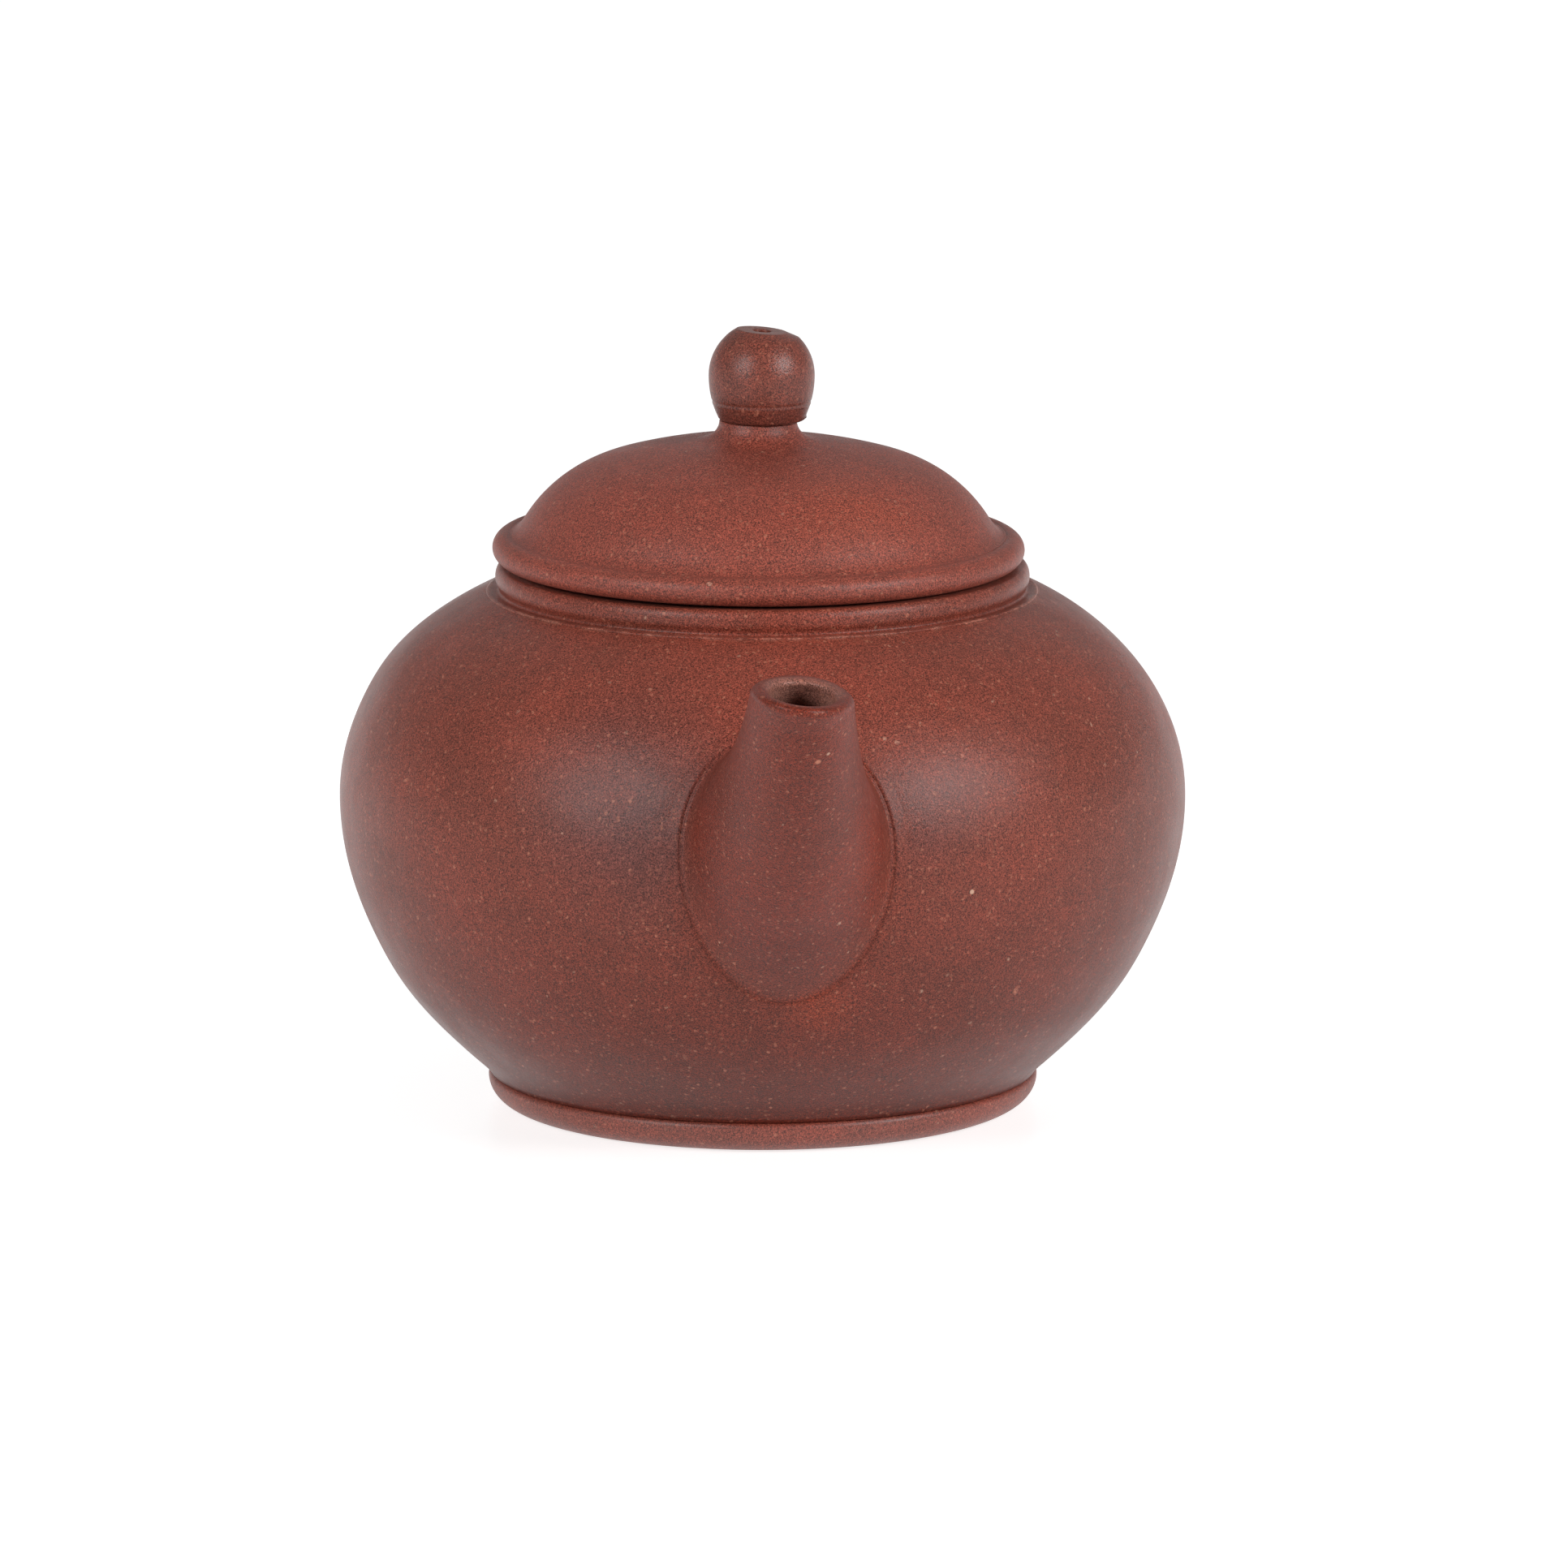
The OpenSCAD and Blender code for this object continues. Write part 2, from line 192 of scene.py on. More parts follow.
# ---------------------------------------------------------------------------
# Meshes
# ---------------------------------------------------------------------------
def hand_made(points, depth=HAND_DEPTH):
    """Moves points by the unevenness of hand-beaten clay, which depends only on their place.

    They go in towards the pot's axis by up to the depth. In the two full places of the body they also go out.
    The unevenness is a broad noise with a weaker, finer one on it, and it dies away near the axis.
    """
    points = np.asarray(points, float)
    flat = points.reshape(-1, 3)
    sway = np.array([
        noise.noise(Vector(p / HAND_SIZE)) + 0.35 * noise.noise(Vector(p / HAND_SIZE * 2.7 + 9)) for p in flat])
    radius = np.maximum(np.hypot(flat[:, 0], flat[:, 1]), 1e-6)
    move = -depth * (0.5 + 0.5 * np.clip(sway, -1, 1)) * np.clip(radius / 10, 0, 1)
    z, west = flat[:, 2], np.clip(-flat[:, 0] / radius, 0, 1)
    low_place = np.exp(-((z - LOW_FULL_Z) / LOW_FULL_SPREAD) ** 2)
    west_place = west * np.exp(-((z - WEST_FULL_Z) / WEST_FULL_SPREAD) ** 2)
    move += FULLNESS * (low_place + west_place) * (z < SHOULDER_Z)
    out = flat.copy()
    out[:, 0] += move * flat[:, 0] / radius
    out[:, 1] += move * flat[:, 1] / radius
    return out.reshape(points.shape)


def build_mesh(name, rows, body, material, closed=False, capped=False):
    """A skin over rows of points in millimetres; each row is a closed ring.

    closed joins the last row to the first, and capped fills both end rings towards their middles. Every face
    is turned to the outside.
    """
    rows = np.asarray(rows, float)
    count, around = rows.shape[:2]
    points = rows.reshape(-1, 3)
    faces = []
    for r in range(count if closed else count - 1):
        here, there = r * around, ((r + 1) % count) * around
        for c in range(around):
            d = (c + 1) % around
            faces.append((here + c, here + d, there + d, there + c))
    if capped:
        first, last = len(points), len(points) + 1
        start = (count - 1) * around
        faces += [(first, (c + 1) % around, c) for c in range(around)]
        faces += [(last, start + c, start + (c + 1) % around) for c in range(around)]
        points = np.r_[points, [rows[0].mean(axis=0), rows[-1].mean(axis=0)]]
    mesh = bpy.data.meshes.new(name)
    mesh.from_pydata((points * MM).tolist(), [], faces)
    mesh.polygons.foreach_set("use_smooth", [True] * len(mesh.polygons))
    mesh.update()
    shape = bmesh.new()
    shape.from_mesh(mesh)
    bmesh.ops.recalc_face_normals(shape, faces=shape.faces)
    shape.to_mesh(mesh)
    shape.free()
    piece = bpy.data.objects.new(name, mesh)
    bpy.context.scene.collection.objects.link(piece)
    mesh.materials.append(material)
    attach(piece, body)
    return piece


def turned(outline, columns=COLUMNS):
    """Rows of points for an outline turned round the pot's axis."""
    a = np.linspace(0, 2 * math.pi, columns, endpoint=False)
    r, z = outline[:, 0][:, None], outline[:, 1][:, None]
    return np.stack([r * np.cos(a), r * np.sin(a), np.repeat(z, columns, axis=1)], axis=-1)


# ---------------------------------------------------------------------------
# Materials
# ---------------------------------------------------------------------------
class Nodes:
    """A short hand for building one material's node tree."""

    def __init__(self, name):
        self.material = bpy.data.materials.new(name)
        self.material.use_nodes = True
        self.tree = self.material.node_tree
        self.shader = self.tree.nodes["Principled BSDF"]
        self.place = self.add("ShaderNodeTexCoord").outputs["Object"]
        parts = self.add("ShaderNodeSeparateXYZ")
        self.link(self.place, parts.inputs[0])
        self.x, self.y, self.z = parts.outputs

    def add(self, kind, **values):
        node = self.tree.nodes.new(kind)
        for key, value in values.items():
            setattr(node, key, value)
        return node

    def link(self, source, target):
        """Joins an output to a socket, or sets the socket to a number."""
        if isinstance(source, (int, float)):
            target.default_value = source
        else:
            self.tree.links.new(source, target)

    def noise(self, scale, detail, rough, offset=0.0):
        """A noise over the object's own space, moved by an offset to keep it apart from the others."""
        node = self.add("ShaderNodeTexNoise")
        node.inputs["Scale"].default_value = scale
        node.inputs["Detail"].default_value = detail
        node.inputs["Roughness"].default_value = rough
        move = self.add("ShaderNodeVectorMath", operation="ADD")
        self.link(self.place, move.inputs[0])
        move.inputs[1].default_value = (offset, offset * 0.7, -offset)
        self.link(move.outputs[0], node.inputs["Vector"])
        return node.outputs["Fac"]

    def cells(self, scale):
        """Distance to the middle of the nearest ragged cell, and the cell's own random colour."""
        node = self.add("ShaderNodeTexVoronoi")
        node.inputs["Scale"].default_value = scale
        bend = self.add("ShaderNodeTexNoise")
        bend.inputs["Scale"].default_value = scale * 2.2
        self.link(self.place, bend.inputs["Vector"])
        move = self.add("ShaderNodeVectorMath", operation="MULTIPLY_ADD")
        self.link(bend.outputs["Color"], move.inputs[0])
        move.inputs[1].default_value = (0.45 / scale,) * 3
        self.link(self.place, move.inputs[2])
        self.link(move.outputs[0], node.inputs["Vector"])
        return node.outputs["Distance"], node.outputs["Color"]

    def math(self, kind, a, b=0.0, clamp=False):
        node = self.add("ShaderNodeMath", operation=kind, use_clamp=clamp)
        self.link(a, node.inputs[0])
        self.link(b, node.inputs[1])
        return node.outputs[0]

    def product(self, first, *others):
        for other in others:
            first = self.math("MULTIPLY", first, other)
        return first

    def total(self, first, *others):
        for other in others:
            first = self.math("ADD", first, other)
        return first

    def off_axis(self):
        """Distance from the pot's axis."""
        return self.math("SQRT", self.total(self.math("POWER", self.x, 2.0), self.math("POWER", self.y, 2.0)))

    def span(self, value, low_in, high_in, low_out=0.0, high_out=1.0):
        """A value's range turned into another one, and held there."""
        node = self.add("ShaderNodeMapRange")
        node.inputs["From Min"].default_value = low_in
        node.inputs["From Max"].default_value = high_in
        node.inputs["To Min"].default_value = low_out
        node.inputs["To Max"].default_value = high_out
        self.link(value, node.inputs["Value"])
        return node.outputs[0]

    def mix(self, share, a, b, kind="MIX"):
        """Colour a, with a share of colour b mixed in."""
        node = self.add("ShaderNodeMix", data_type="RGBA", blend_type=kind)
        self.link(share, node.inputs["Factor"])
        for value, socket in ((a, node.inputs["A"]), (b, node.inputs["B"])):
            if isinstance(value, tuple):
                socket.default_value = (*value, 1.0)
            else:
                self.link(value, socket)
        return node.outputs["Result"]

    def proud(self):
        """0 on the body's own skin and 1 well outside it, on a limb that stands out from the body.

        The skin is taken as two parabolas that meet at the belly, which is close enough for a colour.
        """
        rise = self.math("SUBTRACT", self.z, BELLY_Z * MM)
        above = self.math("GREATER_THAN", rise, 0.0)
        bend = self.total(self.product(above, TOP_BEND - LOW_BEND), LOW_BEND)
        gap = self.total(self.off_axis(), self.product(rise, rise, bend))
        return self.span(gap, (BELLY_R + 0.35) * MM, (BELLY_R + 3.0) * MM)

    def near(self, spot, radius):
        """1 at a spot given in metres, falling to 0 at the radius."""
        node = self.add("ShaderNodeVectorMath", operation="DISTANCE")
        self.link(self.place, node.inputs[0])
        node.inputs[1].default_value = spot
        return self.span(node.outputs["Value"], 0.0, radius, 1.0, 0.0)


RED_CLAY = (0.202, 0.040, 0.024)
BROWN_CLAY = (0.122, 0.030, 0.019)
# A greyer clay tone that also carries painted shadow and a painted reflection beside the spout's root.
GREY_CLAY_SHADE_AND_SHEEN = (0.092, 0.036, 0.033)
# Painted light: a pale grey that lightens the shaded inside of the spout's bore.
BORE_LIGHT_GREY = (0.320, 0.210, 0.195)
# A painted highlight along the shoulder's edge under the neck.
EDGE_HIGHLIGHT = (0.330, 0.130, 0.090)
FIRE_CLAY = (0.230, 0.044, 0.022)
# Painted shade, which darkens the clay round the knob's boss and low on the knob.
PAINTED_SHADE = (0.070, 0.022, 0.017)
ORANGE_SPECK = (0.42, 0.155, 0.095)
CREAM_SPECK = (0.50, 0.30, 0.21)
DARK_SPECK = (0.035, 0.020, 0.018)
PLAIN = (1.0, 1.0, 1.0)
# Painted shade: the clay darkened and reddened towards the table.
LOW_SHADE_TINT = (0.47, 0.26, 0.16)
LOW_SHADE_TOP = 0.030   # where the painted shade towards the table begins, in metres

# Flecks: the cells to the metre, a fleck's size as a share of its cell, the share of cells that have one, its
# colour and its strength.
FINE_FLECKS = (1900, 0.34, 0.60, ORANGE_SPECK, 0.62)
CREAM_FLECKS = (900, 0.18, 0.14, CREAM_SPECK, 0.60)
BIG_FLECKS = (380, 0.11, 0.14, ORANGE_SPECK, 0.75)
DARK_FLECKS = (130, 0.035, 0.05, DARK_SPECK, 0.9)
# Noise scales to the metre.
GRAIN = 8800
COARSE_GRAIN = 5200
# The bends of the two parabolas in Nodes.proud(), below and above the belly, to the metre.
LOW_BEND = 21.0
TOP_BEND = 30.5


def mottled(n, redness):
    """The two clays of the pot in soft patches."""
    mottle = n.total(n.product(n.noise(75, 3, 0.55), 0.6), n.product(n.noise(420, 3, 0.6, 0.3), 0.4))
    return n.mix(n.span(mottle, 0.38, 0.62, redness - 0.25, redness + 0.25), BROWN_CLAY, RED_CLAY)


def add_spots(n, colour, spots):
    """Soft places of another colour with uneven edges; some of them are painted shade, shadow, reflection and
    light.
    """
    for centre, radius, tint, strength in spots:
        edge = n.span(n.noise(190, 3, 0.6, 0.11), 0.35, 0.65, 0.55, 1.25)
        patch = n.math("MULTIPLY", n.product(n.near(centre, radius), edge), strength, clamp=True)
        colour = n.mix(patch, colour, tint)
    return colour


def add_highlight_rings(n, colour, rings):
    """Painted highlights along edges round the pot's axis, broken into patches."""
    for radius, height, width, tint, strength in rings:
        off = n.total(n.math("ABSOLUTE", n.math("SUBTRACT", n.off_axis(), radius)),
                      n.math("ABSOLUTE", n.math("SUBTRACT", n.z, height)))
        highlight_patches = n.span(n.noise(480, 3, 0.7, 0.6), 0.44, 0.60)
        colour = n.mix(n.product(n.span(off, 0.0, width, 1.0, 0.0), highlight_patches, strength), colour, tint)
    return colour


def add_marks(n, colour, marks):
    """Single grains of another colour."""
    for centre, radius, tint, strength in marks:
        mark = n.math("MULTIPLY", n.near(centre, radius), 2.5, clamp=True)
        colour = n.mix(n.product(mark, strength), colour, tint)
    return colour


def sprinkle(n, under, scale, size, share_of_cells, tint, strength):
    """Strews flecks of a tint over a colour, and gives the new colour and where the flecks are."""
    distance, cell = n.cells(scale)
    split = n.add("ShaderNodeSeparateColor")
    n.link(cell, split.inputs["Color"])
    chosen = n.math("GREATER_THAN", split.outputs["Red"], 1 - share_of_cells)
    reach = n.span(split.outputs["Green"], 0, 1, size * 0.45, size)
    soft = n.span(n.math("SUBTRACT", reach, distance), -0.25 * size, 0.25 * size)
    ragged = n.span(n.noise(4200, 2, 0.6, 0.05), 0.35, 0.6)
    faint = n.span(split.outputs["Blue"], 0, 1, 0.3 * strength, strength)
    mask = n.product(soft, chosen, ragged, faint)
    return n.mix(mask, under, tint), mask


def bump(n, strength, depth, height, under=None):
    """A normal bent by a height, on top of the normal under it."""
    node = n.add("ShaderNodeBump")
    node.inputs["Strength"].default_value = strength
    node.inputs["Distance"].default_value = depth
    n.link(height, node.inputs["Height"])
    if under is not None:
        n.link(under, node.inputs["Normal"])
    return node.outputs["Normal"]


def clay(name, redness, shine, specular, spots=(), marks=(), rings=(), low_tint=PLAIN, limb_tint=PLAIN):
    """Fired zisha clay: mottled, finely grained, with orange, cream and dark specks.

    redness is the share of the red clay and shine its roughness. spots and marks are (centre, radius, colour,
    strength), rings are (radius, height, width, colour, strength), all in metres. Some spots are painted shade,
    shadow, reflection and light, and the rings are painted highlights. low_tint multiplies the colour towards
    the table, as painted shade where it darkens, and limb_tint multiplies it on what stands out from the body,
    as a browner tone together with painted shade against the floor's reflection.
    """
    n = Nodes(name)
    colour = add_highlight_rings(n, add_spots(n, mottled(n, redness), spots), rings)
    # Towards the table: painted shade where low_tint darkens, as LOW_SHADE_TINT does; the foot's own low_tint
    # lightens it a little.
    if low_tint != PLAIN:
        colour = n.mix(n.span(n.z, 0.0, LOW_SHADE_TOP, 1.0, 0.0), colour, low_tint, "MULTIPLY")
    # On the spout, limb_tint is its browner clay together with painted shade against the floor's reflection.
    if limb_tint != PLAIN:
        colour = n.mix(n.proud(), colour, limb_tint, "MULTIPLY")

    # The grain darkens and lightens the clay. Its noises lie mostly between 0.3 and 0.7.
    grain = n.noise(GRAIN, 2, 0.8)
    coarse = n.noise(COARSE_GRAIN, 2, 0.7, 0.21)
    shade = n.total(n.span(grain, 0.3, 0.7, -0.60, 1.60), n.span(coarse, 0.3, 0.7, 0.05, 0.95))
    tone = n.add("ShaderNodeVectorMath", operation="SCALE")
    n.link(colour, tone.inputs[0])
    n.link(n.math("MAXIMUM", shade, 0.3), tone.inputs["Scale"])

    colour, _ = sprinkle(n, tone.outputs[0], *FINE_FLECKS)
    colour, cream = sprinkle(n, colour, *CREAM_FLECKS)
    colour, big = sprinkle(n, colour, *BIG_FLECKS)
    colour, dark = sprinkle(n, colour, *DARK_FLECKS)
    n.link(add_marks(n, colour, marks), n.shader.inputs["Base Color"])

    rough = n.span(n.total(grain, n.noise(150, 2, 0.5, 0.2)), 0.7, 1.3, shine - 0.06, shine + 0.07)
    n.link(rough, n.shader.inputs["Roughness"])
    n.shader.inputs["Specular IOR Level"].default_value = specular
    n.shader.inputs["Sheen Weight"].default_value = 0.01
    n.shader.inputs["Sheen Roughness"].default_value = 0.4

    height = n.total(n.product(coarse, 0.7), n.product(grain, 0.6), n.product(n.total(cream, big), 0.3),
                     n.product(dark, -0.5))
    waves = bump(n, 0.3, 0.00025, n.noise(330, 2, 0.5, 0.4))
    n.link(bump(n, 0.45, 0.00008, height, waves), n.shader.inputs["Normal"])
    return n.material


# ---------------------------------------------------------------------------
# The pot's turned pieces
# ---------------------------------------------------------------------------
def drill_strainer(piece):
    """Cuts the strainer's holes through the wall behind the spout: one in the middle and six round it."""
    cutter = bmesh.new()
    places = [(0.0, 0.0)] + [(STRAINER_PITCH * math.cos(a), STRAINER_PITCH * math.sin(a))
                             for a in np.radians(90 + 60 * np.arange(6))]
    around = np.linspace(0, 2 * math.pi, HOLE_SIDES, endpoint=False)
    for x, rise in places:
        ends = []
        for y in (2.0 * WALL - BELLY_R, -BELLY_R - WALL):
            ends.append([cutter.verts.new((MM * (x + STRAINER_HOLE_R * math.cos(a)), MM * y,
                                           MM * (STRAINER_Z + rise + STRAINER_HOLE_R * math.sin(a))))
                         for a in around])
        for c in range(HOLE_SIDES):
            d = (c + 1) % HOLE_SIDES
            cutter.faces.new((ends[0][c], ends[0][d], ends[1][d], ends[1][c]))
        cutter.faces.new(ends[0][::-1])
        cutter.faces.new(ends[1])
    bmesh.ops.recalc_face_normals(cutter, faces=cutter.faces)
    mesh = bpy.data.meshes.new("strainer_cutter")
    cutter.to_mesh(mesh)
    cutter.free()
    tool = bpy.data.objects.new("strainer_cutter", mesh)
    bpy.context.scene.collection.objects.link(tool)
    cut = piece.modifiers.new("strainer", "BOOLEAN")
    cut.operation, cut.solver, cut.object = "DIFFERENCE", "EXACT", tool
    bpy.context.view_layer.update()
    drilled = bpy.data.meshes.new_from_object(piece.evaluated_get(bpy.context.evaluated_depsgraph_get()))
    piece.modifiers.remove(cut)
    old, piece.data = piece.data, drilled
    drilled.name = "globe"
    bpy.data.meshes.remove(old)
    bpy.data.objects.remove(tool)
    bpy.data.meshes.remove(mesh)


def make_globe(material):
    """The wall and the shoulder as one burnished shell, with its strainer holes."""
    outer = body_outline(90)
    # A small cove brings the wall out to the foot.
    cove_w, cove_h = 0.36, 1.2
    outer[:, 0] += cove_w * np.clip((FOOT_H + cove_h - outer[:, 1]) / cove_h, 0, 1) ** 2
    hollow = inset(outer, WALL)
    hollow = hollow[hollow[:, 1] > FLOOR_Z]
    outline = np.r_[
        line((BASE_R, FOOT_H), (FOOT_JOINT_R - 0.2, FOOT_H), 2),
        even(outer, 0.55),
        line((SHOULDER_R - 0.1, SHOULDER_Z), (MOUTH_R + 0.15, SHOULDER_Z), 6),
        arc((MOUTH_R + 0.15, SHOULDER_Z - 0.15), 0.15, 0.15, 90, 180, 3),
        line((MOUTH_R, SHOULDER_Z - 0.3), (MOUTH_R, hollow[-1][1] + 0.5), 3),
        arc((MOUTH_R + 0.5, hollow[-1][1] + 0.5), 0.5, 0.5, 180, 270, 4),
        line((MOUTH_R + 0.8, hollow[-1][1]), hollow[-1], 4),
        even(hollow[::-1], 1.0)[1:],
        [[BASE_R, FLOOR_Z]],
        line((BASE_R, FLOOR_Z - 0.3), (BASE_R, FOOT_H + 0.3), 3),
    ]
    piece = build_mesh("globe", hand_made(turned(outline)), "pot", material, closed=True)
    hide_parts("body_wall", "shoulder_disc")
    drill_strainer(piece)


def make_neck(material):
    """The collar round the mouth, on a thin step of its own where it was luted to the shoulder."""
    bead_z = NECK_TOP - NECK_BEAD
    corner_r, corner = NECK_R - 0.30, 0.22
    outline = np.r_[
        line((MOUTH_R, SHOULDER_Z - 0.05), (SHOULDER_R - 0.3, SHOULDER_Z - 0.05), 4),
        [[SHOULDER_R + 0.10, SHOULDER_Z - 0.10], [SHOULDER_R + 0.09, SHOULDER_Z - 0.02],
         [SHOULDER_R + 0.02, SHOULDER_Z + 0.05], [SHOULDER_R - 0.10, SHOULDER_Z + 0.08],
         [SHOULDER_R - 0.26, SHOULDER_Z + 0.07], [SHOULDER_R - 0.42, SHOULDER_Z + 0.05]],
        arc((corner_r + corner, SHOULDER_Z + 0.05 + corner), corner, corner, 270, 180, 6),
        arc((NECK_R - NECK_FACE, bead_z), NECK_FACE, NECK_BEAD, -52, 90, 22),
        line((NECK_R - NECK_FACE - 0.3, NECK_TOP), (MOUTH_R + 0.3, NECK_TOP), 5),
        arc((MOUTH_R + 0.3, NECK_TOP - 0.3), 0.3, 0.3, 90, 180, 5),
        line((MOUTH_R, NECK_TOP - 0.4), (MOUTH_R, SHOULDER_Z + 0.1), 4),
    ]
    piece = build_mesh("neck", hand_made(turned(outline)), "pot", material, closed=True)
    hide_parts("neck_ring")


def make_foot(material):
    """The ring that the pot stands on, rounded outside and plain inside."""
    bead_z = 0.8 * FOOT_H
    inner = FOOT_JOINT_R - FOOT_W
    outline = np.r_[
        line((inner + 0.35, 0.0), (FOOT_R - FOOT_ROUND_W, 0.0), 4),
        arc((FOOT_R - FOOT_ROUND_W, bead_z), FOOT_ROUND_W, bead_z, -88, 0, 22),
        arc((FOOT_JOINT_R - 0.2, bead_z), FOOT_BEAD + 0.2, FOOT_H - bead_z, 8, 90, 8),
        line((FOOT_JOINT_R - 0.5, FOOT_H), (inner + 0.2, FOOT_H), 6),
        arc((inner + 0.2, FOOT_H - 0.2), 0.2, 0.2, 90, 180, 3),
        line((inner, FOOT_H - 0.4), (inner, 0.45), 4),
        arc((inner + 0.35, 0.35), 0.35, 0.35, 180, 262, 5),
    ]
    piece = build_mesh("foot", hand_made(turned(outline)), "pot", material, closed=True)
    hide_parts("foot_ring")


def make_base(material):
    """The bottom disc, with the faint rings of the tool that turned it."""
    radius = np.linspace(0.4, BASE_R - 0.2, 90)
    rings = 0.03 * np.sin(radius * 2.6) + 0.02 * np.sin(radius * 6.1 + 1)
    under = np.c_[radius, FOOT_H + 0.05 + rings]
    top = np.c_[radius[::-1], FLOOR_Z - 0.05 + rings[::-1]]
    outline = np.r_[under, [[BASE_R, FOOT_H + 0.3], [BASE_R, FLOOR_Z - 0.3]], top]
    piece = build_mesh("base", turned(outline), "pot", material, capped=True)
    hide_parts("base_disc")


# ---------------------------------------------------------------------------
# Limbs luted to the body: the spout and the handle
# ---------------------------------------------------------------------------
def body_gap(points):
    """How far points are outside the body's skin, in millimetres, and the skin's outward normal there."""
    points = np.asarray(points, float)
    radius = np.maximum(np.hypot(points[..., 0], points[..., 1]), 1e-6)
    slope = (body_radius(points[..., 2] + 0.05) - body_radius(points[..., 2] - 0.05)) / 0.1
    size = np.sqrt(1 + slope ** 2)
    normal = np.stack([points[..., 0] / radius / size, points[..., 1] / radius / size, -slope / size], axis=-1)
    return (radius - body_radius(points[..., 2])) / size, normal


def on_body(points, height):
    """Points moved onto the body's skin, or to a height above it."""
    for _ in range(4):
        gap, normal = body_gap(points)
        points = points - (gap - height)[..., None] * normal
    return points


def section_points(mid, along, half_w, half_h, a):
    """Points at angles round a section across a direction in the YZ plane."""
    rise = half_h * np.sin(a)
    return np.stack([half_w * np.cos(a), mid[0] - rise * along[1], mid[1] + rise * along[0]], axis=-1)


def passing(level, values, last=True):
    """For each column of a level (rows, columns), the row value where it last, or first, rises past zero."""
    out = []
    for column in level.T:
        i = np.where((column[:-1] < 0) & (column[1:] >= 0))[0][-1 if last else 0]
        share = column[i] / (column[i] - column[i + 1])
        out.append(values[i] + share * (values[i + 1] - values[i]))
    return np.array(out)


def root_rows(above, root, reach_out, edge_h, lip_h, depth):
    """Rows from a limb's skin down a small fillet, over the scribed line and out onto the body.

    above is the row of skin points where the fillet starts and root the row where the skin meets the body. The
    line lies reach_out from the root, between an edge and a lip of the heights given. depth, 0 to 1, is how
    firmly it is scribed at each column.
    """
    _, normal = body_gap(root)
    around = np.roll(root, -1, axis=0) - np.roll(root, 1, axis=0)
    out = np.cross(around, normal)
    out /= np.linalg.norm(out, axis=1)[:, None]
    if np.mean(np.sum(out * (root - root.mean(axis=0)), axis=1)) < 0:
        out = -out

    def spread(distance, height):
        height = np.broadcast_to(height, (len(root),))
        return on_body(root + out * distance, height)

    rows = []
    end = spread(reach_out, edge_h)
    for t in np.linspace(0, 1, 12)[1:]:
        rows.append((1 - t) ** 2 * above + 2 * t * (1 - t) * on_body(root, 0.05) + t * t * end)
    # How far out from the line's near edge, and how high over the body, each row lies. The last two are buried.
    groove = 0.5 * edge_h * (1 - depth)
    profile = (
        (0.05, 0.75 * edge_h), (0.10, 0.02 + groove), (0.16, groove), (0.24, groove),
        (0.31, 0.6 * lip_h), (0.40, lip_h), (0.56, 0.93 * lip_h), (0.75, 0.76 * lip_h), (0.95, 0.52 * lip_h),
        (1.2, 0.25 * lip_h), (1.45, 0.05 * lip_h), (1.6, -0.03), (1.65, -0.5), (0.0, -0.7),
    )
    for distance, height in profile:
        rows.append(spread(reach_out + distance, height))
    return rows


def rows_at(skin, values, t):
    """Points of a skin, one for each column, at the row values t."""
    place = np.clip(t, values[0], values[-1]) / (values[1] - values[0])
    i = np.minimum(place.astype(int), len(values) - 2)
    share = (place - i)[:, None]
    columns = np.arange(skin.shape[1])
    return skin[i, columns] * (1 - share) + skin[i + 1, columns] * share


def bezier(a, b, c, t):
    """Points of a curve from a to c that is drawn towards b."""
    t = np.asarray(t, float)
    return (1 - t) ** 2 * a + 2 * t * (1 - t) * b + t * t * c


SPOUT_COLUMNS = 300
BEND_TO_MOUTH = np.array([-13, 14.9])
SPOUT_END = MOUTH[1:]
SPOUT_BEND = SPOUT_END - BEND_TO_MOUTH
ROOT_TOP = SHOULDER_Z - 7.4
ROOT_LOW = FOOT_H + 6.5
ROOT_H = (ROOT_TOP - ROOT_LOW) / 2
ROOT_W = 12.8
SPOUT_START = np.array([15 - BELLY_R, (ROOT_TOP + ROOT_LOW) / 2])


def spout_mid(t):
    """The middle line in the YZ plane: a curve from the root, 0, to the mouth, 1, and straight on past it."""
    if t <= 1:
        return bezier(SPOUT_START, SPOUT_BEND, SPOUT_END, t)
    return SPOUT_END + 2 * (t - 1) * (SPOUT_END - SPOUT_BEND)


def spout_along(t):
    """The middle line's direction."""
    t = min(t, 1)
    d = (1 - t) * (SPOUT_BEND - SPOUT_START) + t * (SPOUT_END - SPOUT_BEND)
    return d / np.linalg.norm(d)


def spout_half(t):
    """Half the spout's width and height."""
    t = min(t, 1)
    return float(bezier(ROOT_W, 5.8, TIP_R, t)), float(bezier(ROOT_H, 6.15, TIP_H, t))


